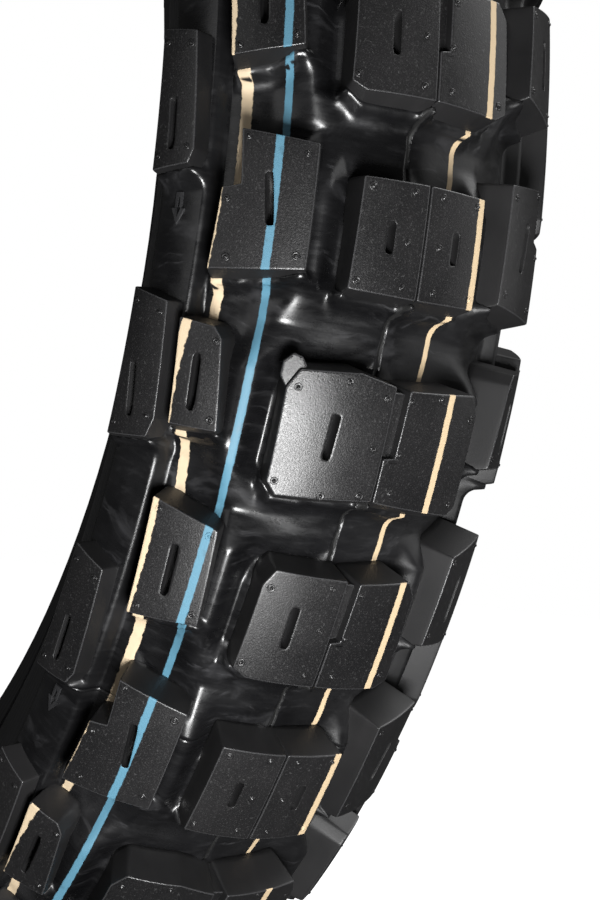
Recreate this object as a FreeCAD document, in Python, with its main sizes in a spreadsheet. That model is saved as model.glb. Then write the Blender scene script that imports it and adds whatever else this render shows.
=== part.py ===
import FreeCAD, Part
import math
import os

# A 130/80-17 knobby motorcycle tyre, off the rim.
# Frame: origin at the centre of the wheel, +Y along the axle to the right, +Z up.
# A half section is drawn with two numbers: y, along the axle, and r, out from the axle.
# A place on the tread is given by s, the distance along the tread arc from its middle,
# and by an angle round the wheel, counted from +X towards +Z.

vec = FreeCAD.Vector
doc = FreeCAD.newDocument("MotorcycleTyre")

sizes = [
    ("overallRadius", 325.0, "outside radius over the middle blocks"),
    ("crownRadius", 75.0, "radius of the tread across the tyre"),
    ("shoulderRadius", 39.0, "radius over the shoulder lugs"),
    ("crownAngle", 45.5, "where the crown arc meets the shoulder arc"),
    ("treadDepth", 13.0, "block top to groove floor"),
    ("landHeight", 2.0, "groove floor to the raised lands between blocks"),
    ("landAngle", 54.5, "where the lands stop on the shoulder"),
    ("saddleHeight", 6.5, "groove floor to the top of the saddles between lugs"),
    ("tieHeight", 7.5, "groove floor to the top of the tie bars between blocks"),
    ("floorThick", 2.0, "rubber under the groove floor at the crown"),
    ("capThick", 0.6, "cap ply"),
    ("beltThick", 0.8, "one breaker belt"),
    ("plyThick", 0.9, "one carcass ply"),
    ("linerThick", 1.2, "inner liner"),
    ("capAngle", 40.0, "half width of the cap ply"),
    ("outerBeltAngle", 38.0, "half width of the outer breaker belt"),
    ("innerBeltAngle", 35.0, "half width of the inner breaker belt"),
    ("treadEndAngle", 86.0, "where tread rubber gives way to sidewall"),
    ("rimRadius", 215.9, "bead seat radius of a 17 inch rim"),
    ("beadHalf", 32.0, "half the distance between the rim flanges"),
    ("flangeRise", 16.1, "bead seat to the start of the free sidewall"),
    ("flangeFlare", 3.0, "how far the wall leans out over the flange"),
    ("heelRadius", 3.0, "bead heel"),
    ("beadWidth", 14.0, "bead heel face to bead toe"),
    ("toeChamfer", 1.5, "bead toe"),
    ("chaferThick", 1.2, "rim strip under and beside the bead"),
    ("wireDiameter", 1.4, "one bead wire"),
    ("wirePitch", 1.5, "bead wire spacing"),
    ("ribHeight", 0.8, "rim line rib on the sidewall"),
    ("arrowHeight", 0.6, "raised rotation arrows"),
    ("wearHeight", 1.6, "wear indicator bars"),
    ("repeats", 12.0, "pattern repeats round the tyre"),
    ("fullTurn", 360.0, "degrees"),
    ("blockDraft", 5.0, "taper of the block walls"),
    ("partingGap", 0.3, "slit between the left and right centre blocks"),
    ("moatWidth", 5.0, "deep groove beside the centre blocks"),
    ("moatAngle", 1.3, "deep groove in front of each block"),
]

sheet = doc.addObject("Spreadsheet::Sheet", "Sizes")
for row, (alias, value, note) in enumerate(sizes, start=1):
    sheet.set("A%d" % row, alias)
    sheet.set("B%d" % row, str(value))
    sheet.set("C%d" % row, note)
    sheet.setAlias("B%d" % row, alias)
doc.recompute()


def size(alias):
    return float(sheet.get(alias))


overallRadius = size("overallRadius")
crownRadius = size("crownRadius")
shoulderRadius = size("shoulderRadius")
crownAngle = size("crownAngle")
treadDepth = size("treadDepth")
rimRadius = size("rimRadius")
beadHalf = size("beadHalf")
chaferThick = size("chaferThick")
plyThick = size("plyThick")
period = size("fullTurn") / size("repeats")

# depths below the groove floor of the layers of the casing
capTop = size("floorThick")
outerBeltTop = capTop + size("capThick")
innerBeltTop = outerBeltTop + size("beltThick")
outerPlyTop = innerBeltTop + size("beltThick")
innerPlyTop = outerPlyTop + plyThick
linerTop = innerPlyTop + plyThick
cavityTop = linerTop + size("linerThick")

# arc centres of the half section, in y and r
quarter = 90.0
crownCentre = (0.0, overallRadius - crownRadius)
shoulderCentre = (
    (crownRadius - shoulderRadius) * math.sin(math.radians(crownAngle)),
    crownCentre[1] + (crownRadius - shoulderRadius) * math.cos(math.radians(crownAngle)),
)
widestY = shoulderCentre[0] + shoulderRadius - treadDepth
wallFoot = (beadHalf + size("flangeFlare"), rimRadius + size("flangeRise"))
wallIn = widestY - wallFoot[0]
wallDrop = shoulderCentre[1] - wallFoot[1]
wallRadius = (wallIn ** 2 + wallDrop ** 2) / (2.0 * wallIn)
wallCentre = (widestY - wallRadius, shoulderCentre[1])
wallTurn = math.degrees(math.asin(wallDrop / wallRadius))
wallEnd = quarter + wallTurn


def onArc(centre, radius, angle):
    a = math.radians(angle)
    return (centre[0] + radius * math.sin(a), centre[1] + radius * math.cos(a))


def arcAt(angle):
    """Centre and groove-floor radius of the arc that covers this angle."""
    if angle <= crownAngle:
        return crownCentre, crownRadius - treadDepth
    if angle <= quarter:
        return shoulderCentre, shoulderRadius - treadDepth
    return wallCentre, wallRadius


def sectionPoint(angle, depth):
    centre, radius = arcAt(abs(angle))
    y, r = onArc(centre, radius - depth, abs(angle))
    return (math.copysign(y, angle) if angle else y, r)


def chain(start, stop, depth):
    """Arcs of the section at one depth below the groove floor, from start to stop."""
    cuts = [-wallEnd, -quarter, -crownAngle, crownAngle, quarter, wallEnd]
    low, high = min(start, stop), max(start, stop)
    stations = [low] + [c for c in cuts if low + 0.01 < c < high - 0.01] + [high]
    pieces = []
    for a, b in zip(stations[:-1], stations[1:]):
        middle = 0.5 * (a + b)
        centre, radius = arcAt(abs(middle))
        side = math.copysign(1.0, middle) if middle else 1.0
        points = []
        for angle in (a, middle, b):
            y, r = onArc((centre[0] * side, centre[1]), radius - depth, angle)
            points.append((y, r))
        pieces.append(("arc", points))
    if start > stop:
        pieces = [(kind, points[::-1]) for kind, points in pieces[::-1]]
    return pieces


def line(*points):
    return [("line", [a, b]) for a, b in zip(points[:-1], points[1:])]


def spot(point):
    return vec(point[1], point[0], 0.0)


def sectionFace(pieces):
    """A face in the plane of +X and the axle from a closed run of arcs and lines."""
    edges = []
    count = len(pieces)
    for i, (kind, points) in enumerate(pieces):
        if kind == "arc":
            edges.append(Part.Arc(*[spot(p) for p in points]).toShape())
        else:
            edges.append(Part.LineSegment(spot(points[0]), spot(points[1])).toShape())
        here, there = points[-1], pieces[(i + 1) % count][1][0]
        if math.hypot(here[0] - there[0], here[1] - there[1]) > 1e-6:
            edges.append(Part.LineSegment(spot(here), spot(there)).toShape())
    return Part.Face(Part.Wire(Part.__sortEdges__(edges)))


def mirrored(pieces):
    return [(kind, [(-y, r) for y, r in points][::-1]) for kind, points in pieces[::-1]]


nodes = []


def addNode(obj, name):
    obj.Label = name
    nodes.append(obj)
    return obj


def ring(name, face):
    """A ring turned about the axle from a section face."""
    profile = doc.addObject("Part::Feature", name + "Section")
    profile.Shape = face
    turned = doc.addObject("Part::Revolution", name)
    turned.Source = profile
    turned.Axis = vec(0.0, 1.0, 0.0)
    turned.Base = vec(0.0, 0.0, 0.0)
    turned.setExpression("Angle", "Sizes.fullTurn")
    turned.Solid = True
    return turned


def ringPair(name, label, pieces):
    addNode(ring(name + "Right", sectionFace(pieces)), label + "_right")
    addNode(ring(name + "Left", sectionFace(mirrored(pieces))), label + "_left")


def band(start, stop, top, bottom):
    return chain(start, stop, top) + chain(stop, start, bottom)


# casing layers that run from shoulder to shoulder
treadEnd = size("treadEndAngle")
capAngle = size("capAngle")
outerBeltAngle = size("outerBeltAngle")
innerBeltAngle = size("innerBeltAngle")
treadBase = (
    chain(-treadEnd, treadEnd, 0.0)
    + chain(treadEnd, capAngle, outerPlyTop)
    + line(sectionPoint(capAngle, outerPlyTop), sectionPoint(capAngle, capTop))
    + chain(capAngle, -capAngle, capTop)
    + line(sectionPoint(-capAngle, capTop), sectionPoint(-capAngle, outerPlyTop))
    + chain(-capAngle, -treadEnd, outerPlyTop)
)
addNode(ring("TreadBase", sectionFace(treadBase)), "tread_base")

# the cap ply and the belts lie on the carcass, each wider one closing over the next
capPly = (
    chain(-capAngle, capAngle, capTop)
    + chain(capAngle, outerBeltAngle, outerPlyTop)
    + line(
        sectionPoint(outerBeltAngle, outerPlyTop),
        sectionPoint(outerBeltAngle, outerBeltTop),
    )
    + chain(outerBeltAngle, -outerBeltAngle, outerBeltTop)
    + line(
        sectionPoint(-outerBeltAngle, outerBeltTop),
        sectionPoint(-outerBeltAngle, outerPlyTop),
    )
    + chain(-outerBeltAngle, -capAngle, outerPlyTop)
)
addNode(ring("CapPly", sectionFace(capPly)), "cap_ply")
outerBelt = (
    chain(-outerBeltAngle, outerBeltAngle, outerBeltTop)
    + chain(outerBeltAngle, innerBeltAngle, outerPlyTop)
    + line(
        sectionPoint(innerBeltAngle, outerPlyTop),
        sectionPoint(innerBeltAngle, innerBeltTop),
    )
    + chain(innerBeltAngle, -innerBeltAngle, innerBeltTop)
    + line(
        sectionPoint(-innerBeltAngle, innerBeltTop),
        sectionPoint(-innerBeltAngle, outerPlyTop),
    )
    + chain(-innerBeltAngle, -outerBeltAngle, outerPlyTop)
)
addNode(ring("BreakerBeltOuter", sectionFace(outerBelt)), "breaker_belt_outer")
innerBelt = band(-innerBeltAngle, innerBeltAngle, innerBeltTop, outerPlyTop)
addNode(ring("BreakerBeltInner", sectionFace(innerBelt)), "breaker_belt_inner")

# bead: heel against the flange, a flat seat, and the toe
heel = size("heelRadius")
toeChamfer = size("toeChamfer")
toeY = beadHalf - size("beadWidth")
toeTop = (toeY, rimRadius + toeChamfer)
seatInner = (toeY + toeChamfer, rimRadius)
seatOuter = (beadHalf - heel, rimRadius)
underPly = rimRadius + chaferThick
underCore = underPly + plyThick
faceY = beadHalf - chaferThick
plyFaceY = faceY - plyThick
legKnee = underPly + 10.0
innerFootY = toeY + chaferThick
coreFootY = innerFootY + 1.6
linerFoot = rimRadius + 3.1


def foot(depth):
    """Where a layer leaves the wall arc, on the right side."""
    return sectionPoint(wallEnd, depth)


def between(a, b, r):
    part = (a[1] - r) / (a[1] - b[1])
    return (a[0] + part * (b[0] - a[0]), r)


def leftOf(points):
    return [(-y, r) for y, r in points][::-1]


outerLeg = [
    foot(outerPlyTop),
    (faceY, legKnee),
    (faceY, underCore),
    (plyFaceY, underCore),
    (plyFaceY, legKnee),
    foot(innerPlyTop),
]
outerPly = (
    chain(-wallEnd, wallEnd, outerPlyTop)
    + line(*outerLeg)
    + chain(wallEnd, -wallEnd, innerPlyTop)
    + line(*leftOf(outerLeg))
)
addNode(ring("CarcassPlyOuter", sectionFace(outerPly)), "carcass_ply_outer")

# the inner ply goes down inside the bead core and turns under it
innerLeg = [
    foot(innerPlyTop),
    (coreFootY, underCore),
    (faceY, underCore),
    (faceY, underPly),
    (innerFootY, underPly),
    foot(linerTop),
]
innerPly = (
    chain(-wallEnd, wallEnd, innerPlyTop)
    + line(*innerLeg)
    + chain(wallEnd, -wallEnd, linerTop)
    + line(*leftOf(innerLeg))
)
addNode(ring("CarcassPlyInner", sectionFace(innerPly)), "carcass_ply_inner")

linerOuterFoot = between(foot(linerTop), (innerFootY, underPly), linerFoot)
linerInnerFoot = between(foot(cavityTop), toeTop, linerFoot)
linerLeg = [foot(linerTop), linerOuterFoot, linerInnerFoot, foot(cavityTop)]
liner = (
    chain(-wallEnd, wallEnd, linerTop)
    + line(*linerLeg)
    + chain(wallEnd, -wallEnd, cavityTop)
    + line(*leftOf(linerLeg))
)
addNode(ring("InnerLiner", sectionFace(liner)), "inner_liner")

# sidewalls
ringPair(
    "Sidewall", "sidewall",
    chain(treadEnd, wallEnd, 0.0)
    + line(foot(0.0), foot(outerPlyTop))
    + chain(wallEnd, treadEnd, outerPlyTop),
)

# chafer: everything outside the plies at the bead, down to the seat
flareRadius = size("flangeFlare") / (1.0 - math.cos(math.radians(wallTurn)))
flareMiddle = 0.5 * wallTurn
flareCentreY = beadHalf + flareRadius
flareCentreR = wallFoot[1] - flareRadius * math.sin(math.radians(wallTurn))


def onFlare(angle):
    a = math.radians(angle)
    return (flareCentreY - flareRadius * math.cos(a), flareCentreR + flareRadius * math.sin(a))


halfCorner = math.sqrt(0.5)
heelArc = [
    (beadHalf, rimRadius + heel),
    (seatOuter[0] + heel * halfCorner, rimRadius + heel - heel * halfCorner),
    seatOuter,
]
chafer = (
    [("arc", [onFlare(wallTurn), onFlare(flareMiddle), onFlare(0.0)])]
    + line(onFlare(0.0), heelArc[0])
    + [("arc", heelArc)]
    + line(seatOuter, seatInner, toeTop, linerInnerFoot, linerOuterFoot)
    + line(linerOuterFoot, (innerFootY, underPly), (faceY, underPly), (faceY, legKnee))
    + line((faceY, legKnee), foot(outerPlyTop), foot(0.0))
)
ringPair("Chafer", "chafer", chafer)

# bead core: hoops of wire in rows that narrow outward, with the filler moulded round them
wireDiameter = size("wireDiameter")
wirePitch = size("wirePitch")
wireRows = [5, 4, 3, 2]
coreGap = 0.3
coreFaceY = plyFaceY - coreGap
coreBase = underCore + coreGap
rowCount = len(wireRows)
coreWide = wireRows[0] * wirePitch + coreGap
coreNarrow = wireRows[-1] * wirePitch + coreGap
corePocket = line(
    (coreFaceY + 0.1, coreBase - 0.1),
    (coreFaceY - coreWide, coreBase - 0.1),
    (coreFaceY - coreWide, coreBase + wirePitch),
    (coreFaceY - coreNarrow, coreBase + rowCount * wirePitch),
    (coreFaceY + 0.1, coreBase + rowCount * wirePitch),
    (coreFaceY + 0.1, coreBase - 0.1),
)
fillerOutline = line(
    foot(innerPlyTop),
    (plyFaceY, legKnee),
    (plyFaceY, underCore),
    (coreFootY, underCore),
    foot(innerPlyTop),
)
for side, flip in (("Right", False), ("Left", True)):
    outline = mirrored(fillerOutline) if flip else fillerOutline
    pocket = mirrored(corePocket) if flip else corePocket
    whole = ring("BeadFillerSolid" + side, sectionFace(outline))
    hollow = ring("BeadFillerPocket" + side, sectionFace(pocket))
    filler = doc.addObject("Part::Cut", "BeadFiller" + side)
    filler.Base = whole
    filler.Tool = hollow
    addNode(filler, "bead_filler_" + side.lower())

    hoops = []
    sign = -1.0 if flip else 1.0
    for row, wires in enumerate(wireRows):
        for column in range(wires):
            hoop = doc.addObject("Part::Torus", "BeadWire%s%d%d" % (side, row, column))
            hoop.setExpression("Radius2", "Sizes.wireDiameter / 2")
            hoop.Radius1 = coreBase + (row + 0.5) * wirePitch
            across = sign * (coreFaceY - (column + 0.5) * wirePitch)
            hoop.Placement = FreeCAD.Placement(
                vec(0.0, across, 0.0), FreeCAD.Rotation(vec(1.0, 0.0, 0.0), quarter)
            )
            hoops.append(hoop)
    core = doc.addObject("Part::Compound", "BeadCore" + side)
    core.Links = hoops
    addNode(core, "bead_core_" + side.lower())

# a fine raised line round each sidewall shows that the bead is seated evenly
ribHeight = size("ribHeight")
ribStart = quarter + 0.86 * wallTurn
ribStop = quarter + 0.90 * wallTurn
ringPair("RimLineRib", "rim_line_rib", band(ribStart, ribStop, -ribHeight, 0.0))


def alongTread(s):
    """Section angle at a distance along the block tops from the middle of the tread."""
    crownLength = crownRadius * math.radians(crownAngle)
    a = abs(s)
    if a <= crownLength:
        angle = math.degrees(a / crownRadius)
    else:
        angle = crownAngle + math.degrees((a - crownLength) / shoulderRadius)
    return math.copysign(angle, s) if s else 0.0


def treadSpot(s, around):
    """Place and outward direction on the block tops, with the angle round the wheel."""
    angle = alongTread(s)
    y, r = sectionPoint(angle, -treadDepth)
    out = math.radians(angle)
    turn = math.radians(around)
    place = vec(r * math.cos(turn), y, r * math.sin(turn))
    up = vec(math.cos(out) * math.cos(turn), math.sin(out), math.cos(out) * math.sin(turn))
    return place, up


def offsetOutline(points, distance):
    """Move each side of an outline out by a distance, keeping its corners sharp."""
    area = sum(a[0] * b[1] - b[0] * a[1] for a, b in zip(points, points[1:] + points[:1]))
    turn = 1.0 if area > 0 else -1.0
    moved = []
    count = len(points)
    for i in range(count):
        before, here, after = points[i - 1], points[i], points[(i + 1) % count]
        ax, ay = here[0] - before[0], here[1] - before[1]
        bx, by = after[0] - here[0], after[1] - here[1]
        la, lb = math.hypot(ax, ay), math.hypot(bx, by)
        na = (turn * ay / la, -turn * ax / la)
        nb = (turn * by / lb, -turn * bx / lb)
        scale = distance / (1.0 + na[0] * nb[0] + na[1] * nb[1])
        moved.append((here[0] + scale * (na[0] + nb[0]), here[1] + scale * (na[1] + nb[1])))
    return moved


def prism(outline, deep, draft):
    """A tapered prism through the tread, standing over an outline given in s and angle."""
    middleS = sum(p[0] for p in outline) / len(outline)
    middleAround = sum(p[1] for p in outline) / len(outline)
    origin, up = treadSpot(middleS, middleAround)
    along = vec(-math.sin(math.radians(middleAround)), 0.0, math.cos(math.radians(middleAround)))
    across = along.cross(up)
    flat = []
    for s, around in outline:
        place, direction = treadSpot(s, around)
        gap = place - origin
        flat.append((gap.dot(across), gap.dot(along)))
    above = 3.0
    wires = []
    for height in (above, -deep):
        moved = offsetOutline(flat, -height * math.tan(math.radians(draft)))
        corners = [origin + across * u + along * v + up * height for u, v in moved]
        wires.append(Part.makePolygon(corners + corners[:1]))
    return Part.makeLoft(wires, True, True)


def bandSector(face, around, half):
    start = face.copy()
    start.rotate(vec(0.0, 0.0, 0.0), vec(0.0, -1.0, 0.0), around - half)
    return start.revolve(vec(0.0, 0.0, 0.0), vec(0.0, -1.0, 0.0), 2.0 * half)


def flip(outline):
    return [(-s, around) for s, around in outline[::-1]]


def repeated(shape):
    """Copies of a shape at every pattern repeat round the axle."""
    copies = []
    for i in range(int(round(size("repeats")))):
        copy = shape.copy()
        copy.rotate(vec(0.0, 0.0, 0.0), vec(0.0, 1.0, 0.0), i * period)
        copies.append(copy)
    return Part.makeCompound(copies)


# outlines of the block tops on the left half, as s and the angle round the wheel
# s in mm, angles as shares of one pattern repeat of thirty degrees
turnShare = period / 30.0


def spread(points):
    return [(s, around * turnShare) for s, around in points]


blocks = {
    "centre_block_small": spread([(-20.2, 0.75), (-1.0, 0.8), (-1.0, -4.85), (-20.9, -4.8)]),
    "centre_block_large": spread([
        (-29.5, -9.0), (-1.0, -9.1), (-1.0, -15.1), (-29.0, -15.5),
        (-32.2, -14.9), (-32.6, -10.0),
    ]),
    "centre_block_medium": spread([
        (-22.8, -19.1), (-1.0, -19.1), (-1.0, -25.05), (-21.8, -25.1),
        (-26.1, -24.7), (-25.4, -20.0),
    ]),
    "notched_block": spread([
        (-55.0, 2.45), (-33.3, 2.0), (-33.0, -4.25), (-60.0, -4.9),
        (-58.9, -0.65), (-53.7, -0.4),
    ]),
    "narrow_block": spread([
        (-65.4, -7.6), (-55.0, -7.75), (-52.4, -8.3), (-48.6, -13.0), (-62.6, -13.2),
    ]),
    "slanted_block": spread([
        (-61.6, -17.15), (-41.4, -17.9), (-39.4, -23.1), (-59.8, -23.75),
    ]),
}
lugs = {
    "shoulder_lug_short": spread([
        (-83.4, 8.3), (-70.6, 7.8), (-68.6, 1.3), (-70.2, 0.5), (-83.4, 0.1),
    ]),
    "shoulder_lug_long": spread([
        (-83.5, -6.45), (-70.2, -6.9), (-67.0, -13.2), (-68.4, -14.3), (-83.0, -14.95),
    ]),
}

landHeight = size("landHeight")
blockDraft = size("blockDraft")
landAngle = size("landAngle")
blockBand = sectionFace(band(-treadEnd, treadEnd, -treadDepth, -landHeight))
lugBand = sectionFace(band(-treadEnd, treadEnd, -treadDepth, 0.0))


singles = {}
partingGap = size("partingGap")
farSide = 2.0 * overallRadius


def beyondMiddle(side):
    """Everything past the slit on the other side of the middle plane."""
    box = Part.makeBox(2.0 * farSide, farSide, 2.0 * farSide)
    start = -0.5 * partingGap if side == "left" else 0.5 * partingGap - farSide
    box.translate(vec(-farSide, start, -farSide))
    return box


def outerBlocks(side):
    """The blocks next to the shoulder on one side, with their copies one repeat each way."""
    solids = []
    for name in ("notched_block", "narrow_block", "slanted_block"):
        for turn in (-period, 0.0, period):
            copy = singles[name + "_" + side].copy()
            copy.rotate(vec(0.0, 0.0, 0.0), vec(0.0, 1.0, 0.0), turn)
            solids.append(copy)
    return solids


def blockGroup(name, outline, face, deep, clearOf):
    """One block cut from the tread band, clear of its neighbours, repeated round the tyre."""
    cutter = doc.addObject("Part::Feature", name.title().replace("_", "") + "Prism")
    cutter.Shape = prism(outline, deep, blockDraft)
    middle = sum(p[1] for p in outline) / len(outline)
    sector = doc.addObject("Part::Feature", name.title().replace("_", "") + "Band")
    sector.Shape = bandSector(face, middle, 0.5 * period)
    single = doc.addObject("Part::Common", name.title().replace("_", "") + "Single")
    single.Base = sector
    single.Tool = cutter
    doc.recompute()
    shape = single.Shape
    near = [solid for solid in clearOf if shape.BoundBox.intersect(solid.BoundBox)]
    if near:
        shape = shape.cut(near)
    singles[name] = shape
    group = doc.addObject("Part::Feature", name.title().replace("_", ""))
    group.Shape = repeated(shape)
    return addNode(group, name)


deep = 2.0 * treadDepth
for side in ("left", "right"):
    for name, outline in blocks.items():
        shown = outline if side == "left" else flip(outline)
        clearOf = [beyondMiddle(side)] if name.startswith("centre") else []
        blockGroup(name + "_" + side, shown, blockBand, deep, clearOf)
    for name, outline in lugs.items():
        shown = outline if side == "left" else flip(outline)
        blockGroup(name + "_" + side, shown, lugBand, deep, outerBlocks(side))

# tie bars stand on the lands and brace each centre block against its outer neighbour
ties = (
    ("centre_block_small", "notched_block", spread([
        (-37.0, 0.6), (-17.0, 0.0), (-17.0, -4.0), (-37.0, -3.6),
    ])),
    ("centre_block_large", "narrow_block", spread([
        (-56.0, -9.0), (-28.0, -10.8), (-28.0, -14.0), (-51.0, -12.4),
    ])),
    ("centre_block_medium", "slanted_block", spread([
        (-45.0, -19.0), (-20.0, -20.4), (-20.0, -24.0), (-45.0, -22.4),
    ])),
)
tieBand = sectionFace(band(-landAngle, landAngle, -size("tieHeight"), -landHeight))
tieBars = []
for inner, outer, outline in ties:
    for side in ("left", "right"):
        shown = outline if side == "left" else flip(outline)
        middle = sum(p[1] for p in shown) / len(shown)
        bar = bandSector(tieBand, middle, 0.5 * period).common(prism(shown, deep, 0.0))
        bar = bar.cut([singles[inner + "_" + side], singles[outer + "_" + side]])
        tieBars += bar.Solids
barGroup = doc.addObject("Part::Feature", "TieBars")
barGroup.Shape = repeated(Part.makeCompound(tieBars))
addNode(barGroup, "tie_bars")

# raised lands: one repeat of the band between floor and land height, less the deep grooves
moatWidth = size("moatWidth")
moatAngle = size("moatAngle") * turnShare
tuck = 0.3
tuckAngle = 0.1


def moats():
    """Outlines of the deep grooves on the left half and across the middle, one repeat."""
    cuts = []
    for name, outline in blocks.items():
        top = max(p[1] for p in outline)
        low = min(p[1] for p in outline)
        outer = min(p[0] for p in outline)
        inner = max(p[0] for p in outline)
        if name.startswith("centre"):
            reach = outer - moatWidth
            front = [
                (reach, top - tuckAngle), (reach, top + moatAngle),
                (-reach, top + moatAngle), (-reach, top - tuckAngle),
            ]
            cuts.append(front)
            side = [
                (reach, low + tuckAngle), (reach, top),
                (outer + tuck, top), (outer + tuck, low + tuckAngle),
            ]
            cuts.append(side)
            cuts.append(flip(side))
        else:
            front = [
                (outer + tuck, outline[0][1] - tuckAngle), (outer + tuck, top + moatAngle),
                (inner - tuck, top + moatAngle), (inner - tuck, outline[1][1] - tuckAngle),
            ]
            cuts.append(front)
            cuts.append(flip(front))
    return cuts


# saddles fill the gaps between the shoulder lugs; the one ahead of the long lug has the arrow
saddleHeight = size("saddleHeight")
saddleBand = sectionFace(band(-treadEnd, treadEnd, -saddleHeight, 0.0))
saddleOutlines = (
    spread([(-83.0, 1.0), (-67.0, 1.6), (-67.0, -7.6), (-83.0, -7.4)]),
    spread([(-83.0, -13.8), (-67.6, -12.8), (-68.0, -22.6), (-83.0, -22.6)]),
)
saddles = []
for side in ("left", "right"):
    lugSolids = []
    for name in lugs:
        single = singles[name + "_" + side]
        behind = single.copy()
        behind.rotate(vec(0.0, 0.0, 0.0), vec(0.0, 1.0, 0.0), period)
        lugSolids += [single, behind]
    standing = lugSolids + outerBlocks(side)
    for outline in saddleOutlines:
        shown = outline if side == "left" else flip(outline)
        middle = sum(p[1] for p in shown) / len(shown)
        sector = bandSector(saddleBand, middle, 0.5 * period)
        saddles += sector.common(prism(shown, deep, 0.0)).cut(standing).Solids
saddleGroup = doc.addObject("Part::Feature", "LugSaddles")
saddleGroup.Shape = repeated(Part.makeCompound(saddles))
addNode(saddleGroup, "lug_saddles")

landBand = sectionFace(band(-landAngle, landAngle, -landHeight, 0.0))
landSector = bandSector(landBand, -0.5 * period, 0.5 * period)
moatPrisms = []
for outline in moats():
    for shift in (-1, 0, 1):
        moved = [(s, around + shift * period) for s, around in outline]
        middle = sum(p[1] for p in moved) / len(moved)
        if abs(middle + 0.5 * period) < 0.75 * period:
            moatPrisms.append(prism(moved, 2.0 * treadDepth, 0.0))
lands = doc.addObject("Part::Feature", "TreadLands")
landSingle = landSector.cut(moatPrisms)
edgeSolids = []
for turn in (-period, 0.0, period):
    for solid in saddles + [singles[name] for name in singles if name.startswith("shoulder_lug")]:
        copy = solid.copy()
        copy.rotate(vec(0.0, 0.0, 0.0), vec(0.0, 1.0, 0.0), turn)
        if copy.BoundBox.intersect(landSingle.BoundBox):
            edgeSolids.append(copy)
lands.Shape = repeated(landSingle.cut(edgeSolids))
addNode(lands, "tread_lands")

# wear indicator bars cross the deep groove in front of the large centre block
wearHeight = size("wearHeight")
wearTop = max(p[1] for p in blocks["centre_block_large"])
wearOutline = [
    (-20.0, wearTop + 0.35 * moatAngle), (-20.0, wearTop + 0.75 * moatAngle),
    (-8.0, wearTop + 0.75 * moatAngle), (-8.0, wearTop + 0.35 * moatAngle),
]
wearBand = sectionFace(band(-crownAngle, crownAngle, -wearHeight, 0.0))
wearBars = []
for outline in (wearOutline, flip(wearOutline)):
    sector = bandSector(wearBand, wearTop, 0.5 * period)
    wearBars.append(sector.common(prism(outline, 2.0 * treadDepth, 0.0)))
bars = doc.addObject("Part::Feature", "WearIndicatorBars")
bars.Shape = repeated(Part.makeCompound(wearBars))
addNode(bars, "wear_indicator_bars")

# raised outline arrows on the saddles, pointing the way the tyre turns
arrowHeight = size("arrowHeight")
arrowTop = -0.9 * turnShare
arrowLow = -2.7 * turnShare
arrowNeck = 0.5 * (arrowTop + arrowLow)
arrowMiddle = -77.0
arrowOuter = [
    (arrowMiddle - 1.2, arrowTop), (arrowMiddle + 1.2, arrowTop),
    (arrowMiddle + 1.2, arrowNeck), (arrowMiddle + 2.4, arrowNeck),
    (arrowMiddle, arrowLow),
    (arrowMiddle - 2.4, arrowNeck), (arrowMiddle - 1.2, arrowNeck),
]
arrowShare = 0.45
arrowMean = sum(p[1] for p in arrowOuter) / len(arrowOuter)
arrowInner = [
    (arrowMiddle + arrowShare * (s - arrowMiddle), arrowMean + 0.6 * (around - arrowMean))
    for s, around in arrowOuter
]
arrowBand = sectionFace(band(-treadEnd, treadEnd, -saddleHeight - arrowHeight, -saddleHeight))
for side, outer, inner in (
    ("left", arrowOuter, arrowInner),
    ("right", flip(arrowOuter), flip(arrowInner)),
):
    sector = bandSector(arrowBand, arrowMean, 0.25 * period)
    solid = prism(outer, 2.0 * treadDepth, 0.0).cut(prism(inner, 3.0 * treadDepth, 0.0))
    arrows = doc.addObject("Part::Feature", "RotationArrows" + side.title())
    arrows.Shape = repeated(sector.common(solid))
    addNode(arrows, "rotation_arrows_" + side)

doc.recompute()
for obj in doc.Objects:
    if "Invalid" in obj.State or "Error" in obj.State:
        raise RuntimeError("%s did not build" % obj.Label)

os.makedirs("parts", exist_ok=True)
for obj in nodes:
    shape = obj.Shape
    if shape.isNull() or not shape.isValid() or not shape.Solids:
        raise RuntimeError("%s has no valid solid" % obj.Label)
    shape.exportStep("parts/%s.step" % obj.Label)
    volume = sum(solid.Volume for solid in shape.Solids)
    print("%-28s %4d solids %10.1f mm3" % (obj.Label, len(shape.Solids), volume))
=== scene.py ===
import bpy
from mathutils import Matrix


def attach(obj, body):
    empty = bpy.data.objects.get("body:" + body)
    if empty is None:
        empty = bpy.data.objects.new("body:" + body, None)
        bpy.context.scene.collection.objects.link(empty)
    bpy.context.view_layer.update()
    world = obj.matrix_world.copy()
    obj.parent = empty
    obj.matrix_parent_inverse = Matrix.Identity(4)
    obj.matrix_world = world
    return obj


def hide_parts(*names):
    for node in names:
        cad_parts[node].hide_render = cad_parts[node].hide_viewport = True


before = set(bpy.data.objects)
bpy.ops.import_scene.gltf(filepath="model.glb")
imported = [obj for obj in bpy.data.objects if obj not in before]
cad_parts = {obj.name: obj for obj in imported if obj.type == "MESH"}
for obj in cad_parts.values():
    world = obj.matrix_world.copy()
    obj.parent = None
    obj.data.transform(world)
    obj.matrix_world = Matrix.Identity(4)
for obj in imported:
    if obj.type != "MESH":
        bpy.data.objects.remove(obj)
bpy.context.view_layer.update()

import math

import bpy
import numpy as np
from mathutils import Matrix

# lengths in millimetres and angles in degrees, until a mesh is written in metres
tyre = dict(
    topRadius=325.0,
    crownRadius=75.0,
    shoulderRadius=39.0,
    crownAngle=45.5,
    endAngle=86.0,
    repeats=12,
)
period = 360.0 / tyre["repeats"]
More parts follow.
